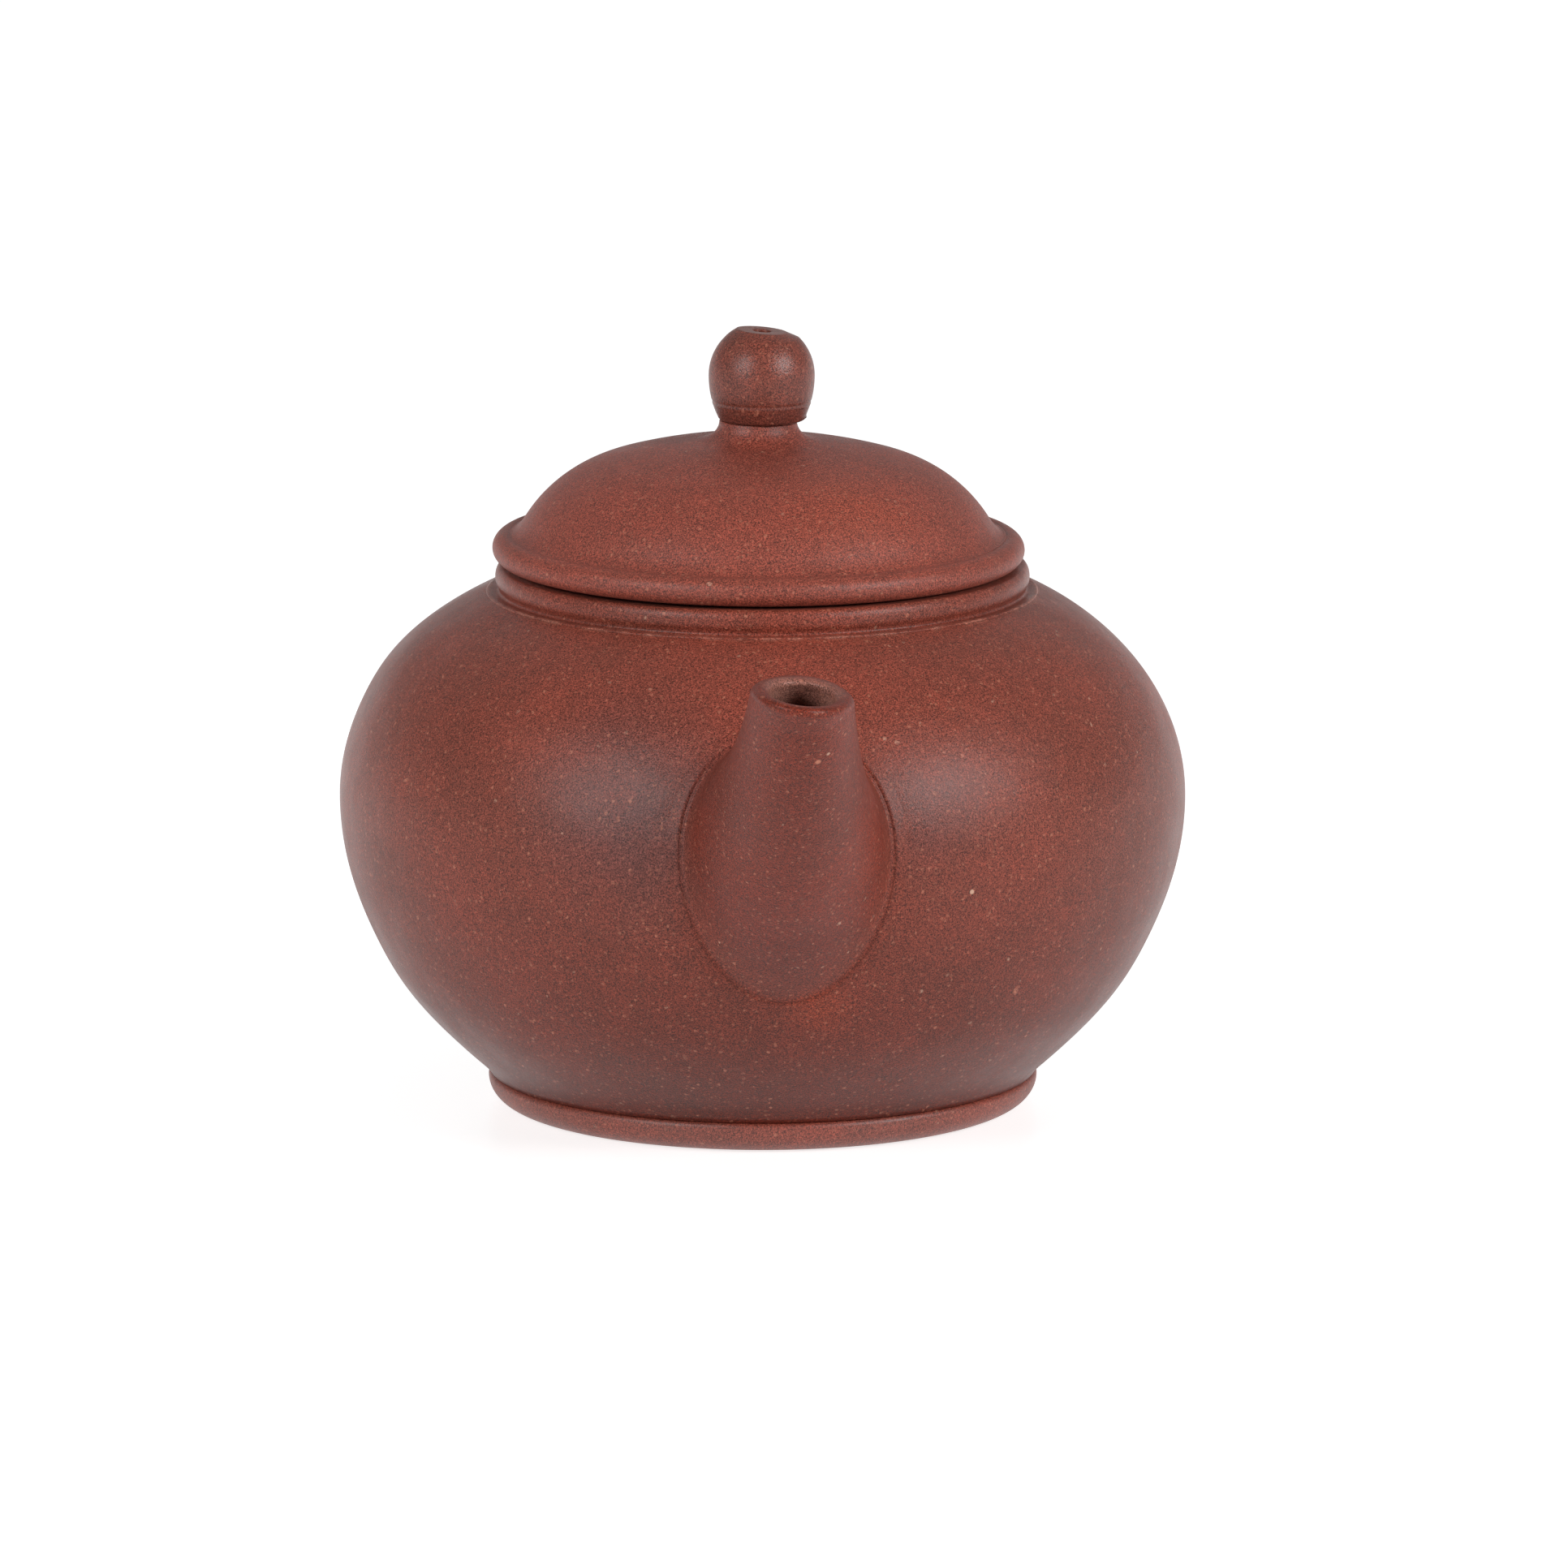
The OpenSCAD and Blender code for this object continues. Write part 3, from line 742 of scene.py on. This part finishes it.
def make_spout(material):
    """The spout: its skin from the root's scribed line to a rounded lip, and the bore and channel inside."""
    angle = np.linspace(0, 2 * math.pi, SPOUT_COLUMNS, endpoint=False)
    values = np.linspace(0, 1.35, 271)

    def tube(wall, least):
        """The spout's sections less a wall, no smaller than the least half size."""
        return np.array([
            section_points(spout_mid(t), spout_along(t), *(max(h - wall, least) for h in spout_half(t)), angle)
            for t in values])

    def at(surface, t):
        return rows_at(surface, values, t)

    skin, inner = tube(0, 0), tube(SPOUT_WALL, BORE_R)
    root_t = passing(body_gap(skin)[0], values)
    # The mouth is cut a little forward, and by hand: lower on the +X side, with a soft wave.
    plane_mid = MOUTH - 0.05 * BORE_AXIS
    tilt, side_slope = math.radians(MOUTH_TILT), 0.12
    normal = np.array([side_slope, -math.sin(tilt), math.cos(tilt)])
    # The bore opens out a little just inside the mouth.
    flare_w, flare_h = 0.38, 2.0
    flare = flare_w * np.clip(1 + ((inner - plane_mid) @ normal) / flare_h, 0, 1) ** 2
    inner_mid = inner.mean(axis=1, keepdims=True)
    inner = inner + flare[..., None] * (inner - inner_mid) / BORE_R

    def cut(surface, drop):
        """The row value at which each column of a surface reaches the mouth's plane, less a drop."""
        return passing((surface - plane_mid) @ normal + drop, values)

    wave = 0.06 * np.sin(2 * angle + 0.6) + 0.04 * np.sin(3 * angle + 2)
    lip_out, lip_in = 0.9, 0.65
    top_out, top_in = cut(skin, lip_out + wave), cut(inner, lip_in + wave)
    outer_edge, inner_edge = at(skin, top_out), at(inner, top_in)
    crest = 0.5 * (at(skin, cut(skin, wave)) + at(inner, cut(inner, wave)))

    fillet = 0.05
    depth = [0.75 + 0.5 * noise.noise(Vector((math.cos(a) * 2, math.sin(a) * 2, 4))) for a in angle]
    depth = np.clip(depth, 0.25, 1)
    rows = root_rows(at(skin, root_t + fillet), at(skin, root_t),
                     reach_out=0.22, edge_h=0.15, lip_h=0.11, depth=depth)[::-1]
    for s in np.linspace(0, 1, 100):
        rows.append(at(skin, root_t + fillet + s * (top_out - root_t - fillet)))
    # An elliptic roll over the lip from the outer edge through the crest to the bore's edge.
    for a in np.radians(np.linspace(12, 168, 14)):
        w = 0.5 - 0.5 * math.cos(a)
        flat = outer_edge * (1 - w) + inner_edge * w
        rows.append(flat + (crest - 0.5 * (outer_edge + inner_edge)) * math.sin(a))
    inner_root = passing(body_gap(inner)[0], values)
    for s in np.linspace(0, 1, 50):
        rows.append(at(inner, top_in + s * (inner_root - 0.03 - top_in)))
    piece = build_mesh("spout_skin", hand_made(np.array(rows)), "pot", material, closed=True)
    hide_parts("spout")


HANDLE_COLUMNS = 96
HANDLE_TOP_W = 4.3     # half the loop's width at its upper end and at its lower end
HANDLE_LOW_W = 2.9
HANDLE_FLAT = 0.82     # the section's depth as a share of its width
# The loop's middle line from its upper end to its lower one: the share of its reach past the belly, and the
# share of the neck's height.
HANDLE_PATH = np.array([[-0.38, 0.80], [-0.08, 0.875], [0.38, 0.955], [0.78, 0.925], [1, 0.76],
                        [0.90, 0.56], [0.53, 0.385], [0.10, 0.32], [-0.30, 0.345]])


def handle_half_w(share):
    """Half the loop's width at a share of its length: it thins downwards and swells again at its lower end."""
    return HANDLE_LOW_W + (HANDLE_TOP_W - HANDLE_LOW_W) * (1 - share) ** 1.4 + 0.9 * share ** 8


HANDLE_OUT = high("handle", Y) - 0.12 - BELLY_R - HANDLE_FLAT * handle_half_w(0.5)
HANDLE_POINTS = np.c_[BELLY_R + HANDLE_OUT * HANDLE_PATH[:, 0], NECK_TOP * HANDLE_PATH[:, 1]]


def handle_mid(s):
    """A point of the smooth curve through HANDLE_POINTS; the point numbered i is at s = i."""
    last = len(HANDLE_POINTS) - 1
    i = min(int(s), last - 1)
    t = s - i
    a, b, c, d = (HANDLE_POINTS[max(0, min(k, last))] for k in (i - 1, i, i + 1, i + 2))
    return 0.5 * (2 * b + (c - a) * t + (2 * a - 5 * b + 4 * c - d) * t ** 2 + (3 * b - a - 3 * c + d) * t ** 3)


def make_handle(material):
    """The ear-shaped loop, smoothed into the body at both ends."""
    last = len(HANDLE_POINTS) - 1
    angle = np.linspace(0, 2 * math.pi, HANDLE_COLUMNS, endpoint=False)
    values = np.linspace(0, last, 321)
    skin = []
    for s in values:
        along = handle_mid(min(s + 0.03, last)) - handle_mid(max(s - 0.03, 0))
        along /= np.linalg.norm(along)
        half = handle_half_w(s / last)
        skin.append(section_points(handle_mid(s), along, half, half * HANDLE_FLAT, angle))
    skin = np.array(skin)
    gap, _ = body_gap(skin)
    start, end = passing(gap, values, last=False), passing(-gap, values)

    def at(t):
        return rows_at(skin, values, t)

    faint = {"edge_h": 0.07, "lip_h": 0.06, "depth": np.full(HANDLE_COLUMNS, 0.35)}
    fillet = 0.32
    rows = root_rows(at(start + fillet), at(start), reach_out=1.1, **faint)[::-1]
    for s in np.linspace(0, 1, 150):
        rows.append(at(start + fillet + s * (end - start - 2 * fillet)))
    rows += root_rows(at(end - fillet), at(end), reach_out=1.0, **faint)
    piece = build_mesh("handle_loop", hand_made(np.array(rows)), "pot", material, capped=True)
    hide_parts("handle")


# ---------------------------------------------------------------------------
# The lid, which sits a little to -X and leans a little to +X in its seat
# ---------------------------------------------------------------------------
LID_LEAN = math.radians(0.35)


def seated(rows, shift):
    """Points of a lid piece moved by its hand-made offset along X and leant in the seat."""
    rows = hand_made(rows, depth=0.05)
    out = rows.copy()
    rise = rows[..., 2] - LID_Z
    out[..., 0] = rows[..., 0] + shift + rise * math.sin(LID_LEAN)
    out[..., 2] = rows[..., 2] - rows[..., 0] * math.sin(LID_LEAN)
    return out


def make_dome(material):
    """The lid's domed shell: a tight side arc, a wide top arc, and the flared boss that the knob stands on."""
    side_x = DOME_R - math.sqrt(DOME_SIDE_R ** 2 - DOME_SINK ** 2)
    side_z = PLATE_Z - DOME_SINK
    top_r = DOME_SIDE_R + side_x / math.cos(math.radians(DOME_TURN))
    top_z = side_z - (top_r - DOME_SIDE_R) * math.sin(math.radians(DOME_TURN))
    foot_turn = math.degrees(math.asin(DOME_SINK / DOME_SIDE_R))
    flare_r = BOSS_R + BOSS_FLARE + 0.6
    flare_z = top_z + math.sqrt(top_r ** 2 - flare_r ** 2)
    flare_turn = math.degrees(math.acos(flare_r / top_r))
    side_in, top_in = DOME_SIDE_R - DOME_WALL, top_r - DOME_WALL
    collar = SEAT_Z - 0.3
    outside = np.r_[
        arc((side_x, side_z), DOME_SIDE_R, DOME_SIDE_R, foot_turn, DOME_TURN, 40),
        arc((0, top_z), top_r, top_r, DOME_TURN + 1, flare_turn, 40),
        bezier(np.array([flare_r, flare_z]), np.array([BOSS_R + 0.28, flare_z + 0.22]),
               np.array([BOSS_R, collar]), np.linspace(0.06, 1, 18)[:, None]),
    ]
    inside = np.r_[
        arc((0, top_z), top_in, top_in, 88.2, DOME_TURN + 1, 24),
        arc((side_x, side_z), side_in, side_in, DOME_TURN, math.degrees(math.asin(DOME_SINK / side_in)), 20),
    ]
    # A soft hollow joins the dome's foot to the top of the bead round it.
    bead_top = arc((LID_R - LID_BEAD, LID_Z + LID_BEAD), LID_BEAD, LID_BEAD, 103, 103, 0)
    side = outside[outside[:, 1] > PLATE_Z + 1.7]
    pull = np.array([DOME_R + 0.02, PLATE_Z + 0.16])
    cove = bezier(bead_top, pull, side[0], np.linspace(0, 1, 12)[:-1, None])
    outline = np.r_[
        [[DOME_R + 0.1, PLATE_Z - 0.02], [DOME_R + 0.45, PLATE_Z + 0.04]],
        cove,
        even(side, 0.3),
        [[BOSS_R - 0.02, SEAT_Z - 0.06], [BOSS_R - 0.1, SEAT_Z],
         [BOSS_R - 0.6, SEAT_Z], [VENT_R + 0.1, SEAT_Z]],
        line((VENT_R, SEAT_Z - 0.1), (VENT_R, inside[0][1] + 0.25), 5),
        [[VENT_R + 0.08, inside[0][1] + 0.05]],
        even(inside, 0.8),
        line((inside[-1][0] + 0.4, PLATE_Z), (DOME_R - 0.5, PLATE_Z), 3),
    ]
    piece = build_mesh("dome", seated(turned(outline), shift=-0.45), "lid", material, closed=True)
    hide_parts("lid_dome")


def make_rim(material):
    """The lid's plate and the bead round it, with the fine step where the dome stands on it."""
    mid_r, mid_z = LID_R - LID_BEAD, LID_Z + LID_BEAD
    top = math.degrees(math.asin(min(1, (PLATE_Z - mid_z) / LID_BEAD)))
    outline = np.r_[
        line((FLANGE_IN_R + 0.2, LID_Z), (mid_r - 0.6, LID_Z), 6),
        arc((mid_r, mid_z), LID_BEAD, LID_BEAD, -110, 180 - top, 40),
        line((DOME_R - 0.1, PLATE_Z - 0.04), (FLANGE_IN_R + 0.3, PLATE_Z - 0.02), 6),
        arc((FLANGE_IN_R + 0.3, PLATE_Z - 0.32), 0.3, 0.3, 90, 180, 4),
        line((FLANGE_IN_R, PLATE_Z - 0.5), (FLANGE_IN_R, LID_Z + 0.2), 3),
    ]
    piece = build_mesh("rim", seated(turned(outline), shift=-0.35), "lid", material, closed=True)
    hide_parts("lid_rim")


def make_flange(material):
    """The ring under the lid that drops into the mouth."""
    edge = 0.5
    outline = np.r_[
        line((FLANGE_IN_R, LID_Z), (FLANGE_R - 0.1, LID_Z), 2),
        line((FLANGE_R, LID_Z - 0.1), (FLANGE_R, FLANGE_LOW + edge), 6),
        arc((FLANGE_R - edge, FLANGE_LOW + edge), edge, edge, 0, -90, 6),
        arc((FLANGE_IN_R + edge, FLANGE_LOW + edge), edge, edge, -90, -180, 6),
        line((FLANGE_IN_R, FLANGE_LOW + edge + 0.1), (FLANGE_IN_R, LID_Z - 0.1), 6),
    ]
    rows = turned(outline, columns=192)
    piece = build_mesh("flange", seated(rows, shift=-0.08), "lid", material, closed=True)
    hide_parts("lid_flange")


def make_knob(material):
    """The ball knob: a scribed line near its foot, a flat cut top with a burr, and the vent down its middle."""
    seat_turn = math.degrees(math.acos(KNOB_SEAT_R / KNOB_R))
    lower_h = (KNOB_MID_Z - SEAT_Z) / math.sin(math.radians(seat_turn))
    cut_turn = math.degrees(math.asin(min(1, (KNOB_TOP - 0.15 - KNOB_MID_Z) / KNOB_R)))
    skin = even(np.r_[
        arc((0, KNOB_MID_Z), KNOB_R, lower_h, -seat_turn, 0, 40),
        arc((0, KNOB_MID_Z), KNOB_R, KNOB_R, 1, cut_turn, 50),
    ], 0.12)
    # The line scribed round the foot of the ball, with the burr that it raised just under it.
    scribe_z, scribe_w, scribe_depth = SEAT_Z + 1.75, 0.09, 0.055
    burr_z, burr_w, burr_h = scribe_z - 0.25, 0.12, 0.02
    skin[:, 0] -= scribe_depth * np.exp(-((skin[:, 1] - scribe_z) / scribe_w) ** 2)
    skin[:, 0] += burr_h * np.exp(-((skin[:, 1] - burr_z) / burr_w) ** 2)
    rim_r = skin[-1][0]
    outline = np.r_[
        [[KNOB_SEAT_R - 0.25, SEAT_Z + 0.02], [KNOB_SEAT_R - 0.04, SEAT_Z + 0.06]],
        skin[2:],
        [[rim_r - 0.12, KNOB_TOP - 0.05]],
        line((rim_r - 0.35, KNOB_TOP - 0.04), (VENT_R + 0.25, KNOB_TOP - 0.06), 5),
        arc((VENT_R + 0.15, KNOB_TOP - 0.22), 0.15, 0.15, 90, 180, 5),
        line((VENT_R, KNOB_TOP - 0.6), (VENT_R, SEAT_Z + 0.1), 10),
        [[VENT_R + 0.1, SEAT_Z + 0.02]],
    ]
    rows = turned(outline, columns=160)
    # The top is cut by hand: lower on the +X side.
    cut_h, cut_mid, cut_slope = 0.9, 0.19, 0.09
    height = np.clip((rows[..., 2] - (KNOB_TOP - cut_h)) / cut_h, 0, 1)
    rows[..., 2] -= height * (cut_mid + cut_slope * rows[..., 0])
    # Crumbs of slip that squeezed out of the seat on the +X side and were left there.
    crumb_turn, crumb_z, crumb_h, crumb_size = 0.7, SEAT_Z + 0.25, 0.22, 0.055
    side_turn = np.abs(np.arctan2(rows[..., 1], rows[..., 0]))
    crumbs = np.clip(1 - side_turn / crumb_turn, 0, 1) * np.exp(-((rows[..., 2] - crumb_z) / crumb_h) ** 2)
    crumbs *= np.array([[0.5 + noise.noise(Vector(q) * 3.1) for q in row] for row in rows])
    rows[..., :2] *= 1 + crumb_size * np.clip(crumbs, 0, 1)[..., None]
    piece = build_mesh("ball_knob", seated(rows, shift=-0.16), "lid", material, closed=True)
    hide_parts("knob")


# ---------------------------------------------------------------------------
# Floor, lights and camera
# ---------------------------------------------------------------------------
def make_floor():
    """A white table that is lit from under as well, as a light table is."""
    table = bpy.data.materials.new("white_table")
    table.use_nodes = True
    shader = table.node_tree.nodes["Principled BSDF"]
    shader.inputs["Base Color"].default_value = (0.42, 0.42, 0.42, 1)
    shader.inputs["Roughness"].default_value = 0.28
    shader.inputs["Emission Color"].default_value = (1, 1, 1, 1)
    shader.inputs["Emission Strength"].default_value = 0.74
    half = 4.0
    corners = [(-half, -half, 0), (half, -half, 0), (half, half, 0), (-half, half, 0)]
    mesh = bpy.data.meshes.new("floor")
    mesh.from_pydata(corners, [], [(0, 1, 2, 3)])
    mesh.materials.append(table)
    floor = bpy.data.objects.new("floor", mesh)
    bpy.context.scene.collection.objects.link(floor)


def aim(thing, place, target):
    """Puts a lamp or a camera at a place and turns it to look at a target."""
    thing.location = place
    thing.rotation_euler = (Vector(target) - Vector(place)).to_track_quat("-Z", "Y").to_euler()


def softbox(name, azimuth, elevation, distance, size, power):
    """A soft square light that looks at the pot; azimuth 0 is on the spout's side."""
    light = bpy.data.lights.new(name, "AREA")
    light.shape = "RECTANGLE"
    light.size = light.size_y = size
    light.energy = power
    lamp = bpy.data.objects.new(name, light)
    bpy.context.scene.collection.objects.link(lamp)
    a, e = math.radians(azimuth), math.radians(elevation)
    flat = distance * math.cos(e)
    pot_middle = (0, 0, 0.035)
    aim(lamp, (flat * math.sin(a), -flat * math.cos(a), distance * math.sin(e)), pot_middle)


def make_lights():
    softbox("left_softbox", azimuth=-48, elevation=30, distance=0.95, size=0.32, power=4.5)
    softbox("right_softbox", azimuth=52, elevation=30, distance=0.95, size=0.30, power=5.9)


def make_room():
    """A white surrounding, as white as the table at the horizon and dimmer above it."""
    world = bpy.data.worlds.new("white_room")
    world.use_nodes = True
    tree = world.node_tree
    back = tree.nodes["Background"]
    back.inputs["Color"].default_value = (1, 1, 1, 1)
    way = tree.nodes.new("ShaderNodeTexCoord")
    parts = tree.nodes.new("ShaderNodeSeparateXYZ")
    fade = tree.nodes.new("ShaderNodeMapRange")
    fade.inputs["From Min"].default_value = 0.055
    fade.inputs["From Max"].default_value = 0.10
    fade.inputs["To Min"].default_value = 1.05
    fade.inputs["To Max"].default_value = 0.39
    tree.links.new(way.outputs["Generated"], parts.inputs[0])
    tree.links.new(parts.outputs["Z"], fade.inputs["Value"])
    tree.links.new(fade.outputs[0], back.inputs["Strength"])
    bpy.context.scene.world = world


def make_camera():
    """A long lens in front of the pot, a little to the left of the spout and looking down on it."""
    azimuth, distance, height = math.radians(-3.35), 1.25, 0.2718
    aim_height, aim_right = 0.02835, 0.00191
    right = Vector((math.cos(azimuth), math.sin(azimuth), 0))
    camera = bpy.data.cameras.new("camera")
    camera.lens = 329.7
    camera.sensor_width = 36
    camera.clip_start, camera.clip_end = 0.05, 20
    eye = bpy.data.objects.new("camera", camera)
    bpy.context.scene.collection.objects.link(eye)
    place = Vector((distance * math.sin(azimuth), -distance * math.cos(azimuth), height))
    aim(eye, place, Vector((0, 0, aim_height)) + right * aim_right)
    bpy.context.scene.camera = eye


# ---------------------------------------------------------------------------
# The scene
# ---------------------------------------------------------------------------
make_camera()
make_floor()
make_lights()
make_room()
bpy.context.scene.view_settings.view_transform = "Standard"

# Places on the clay in metres, and how strongly each is coloured.
spots = [
    # A greyer clay tone with painted shadow and a painted reflection: the patch on the -X side of the spout's
    # root stands for the spout's shadow, the one on the +X side for the greyish sheen by the right highlight.
    ((-0.0125, -0.034, 0.0330), 0.013, GREY_CLAY_SHADE_AND_SHEEN, 0.75),
    ((0.0125, -0.035, 0.0330), 0.007, GREY_CLAY_SHADE_AND_SHEEN, 0.5),
    ((0.0, -0.028, 0.044), 0.016, RED_CLAY, 0.9),
    ((0.003, -0.0345, 0.0150), 0.0035, FIRE_CLAY, 1.0),
    # Painted shade: a darker brown patch on the belly's +X side, where the right softbox lights it.
    ((0.032, -0.0200, 0.0260), 0.0150, BROWN_CLAY, 0.9),
]
marks = [
    ((-0.0159, -0.0283, 0.0398), 0.00030, DARK_SPECK, 0.9),
    ((-0.0093, -0.0360, 0.0237), 0.00026, CREAM_SPECK, 0.9),
    ((0.0162, -0.0337, 0.0252), 0.00026, CREAM_SPECK, 0.9),
]
# Painted highlight: a patchy light ring along the shoulder's edge, under the neck.
shoulder_highlight = [((SHOULDER_R + 0.05) * MM, (SHOULDER_Z + 0.05) * MM, 0.00070, EDGE_HIGHLIGHT, 0.55)]
wall_clay = clay("clay_wall", redness=0.43, shine=0.355, specular=0.25,
                 spots=spots, marks=marks, rings=shoulder_highlight, low_tint=LOW_SHADE_TINT)
make_globe(wall_clay)
make_neck(wall_clay)
foot_clay = clay("clay_foot", redness=0.45, shine=0.44, specular=0.5, low_tint=(1.05, 1.02, 1.02))
make_foot(foot_clay)
make_base(foot_clay)
# The last two of the spout's own spots are painted light: a pale grey that lightens the shaded bore.
spout_spots = [
    ((0.0062, -0.044, 0.0310), 0.0090, FIRE_CLAY, 0.45),
    ((-0.0085, -0.0395, 0.0320), 0.0045, FIRE_CLAY, 0.4),
    ((-0.002, -0.0480, 0.0370), 0.0085, BROWN_CLAY, 0.8),
    (tuple((MOUTH - 2.2 * BORE_AXIS) * MM), 0.0042, BORE_LIGHT_GREY, 3.0),
    (tuple((MOUTH - 5.0 * BORE_AXIS) * MM), 0.0042, BORE_LIGHT_GREY, 3.0),
]
spout_marks = [
    ((0.0013, -0.0590, 0.0416), 0.00036, ORANGE_SPECK, 0.8),
    ((0.0022, -0.0591, 0.0423), 0.00028, CREAM_SPECK, 0.7),
]
# The spout's limb_tint: its browner clay together with painted shade against the floor's reflection on its
# flanks.
make_spout(clay("clay_spout", redness=0.43, shine=0.37, specular=0.20,
                spots=spots + spout_spots, marks=spout_marks, low_tint=LOW_SHADE_TINT, limb_tint=(0.82, 0.58, 0.48)))
make_handle(clay("clay_handle", redness=0.5, shine=0.40, specular=0.34))
lid_spots = [
    # Painted shade round the boss under the knob; the second spot is a redder patch of the clay.
    ((0.0, -0.006, 0.0600), 0.009, PAINTED_SHADE, 0.35),
    ((0.007, -0.015, 0.0560), 0.008, FIRE_CLAY, 0.6),
]
lid_clay = clay("clay_lid", redness=0.85, shine=0.46, specular=0.36, spots=lid_spots)
make_dome(lid_clay)
make_rim(lid_clay)
make_flange(lid_clay)
# Painted shade low on the knob, over its seat.
knob_shade_spots = [((0.0, 0.0, 0.0612), 0.0056, PAINTED_SHADE, 1.0)]
make_knob(clay("clay_knob", redness=0.15, shine=0.34, specular=0.36, spots=knob_shade_spots))
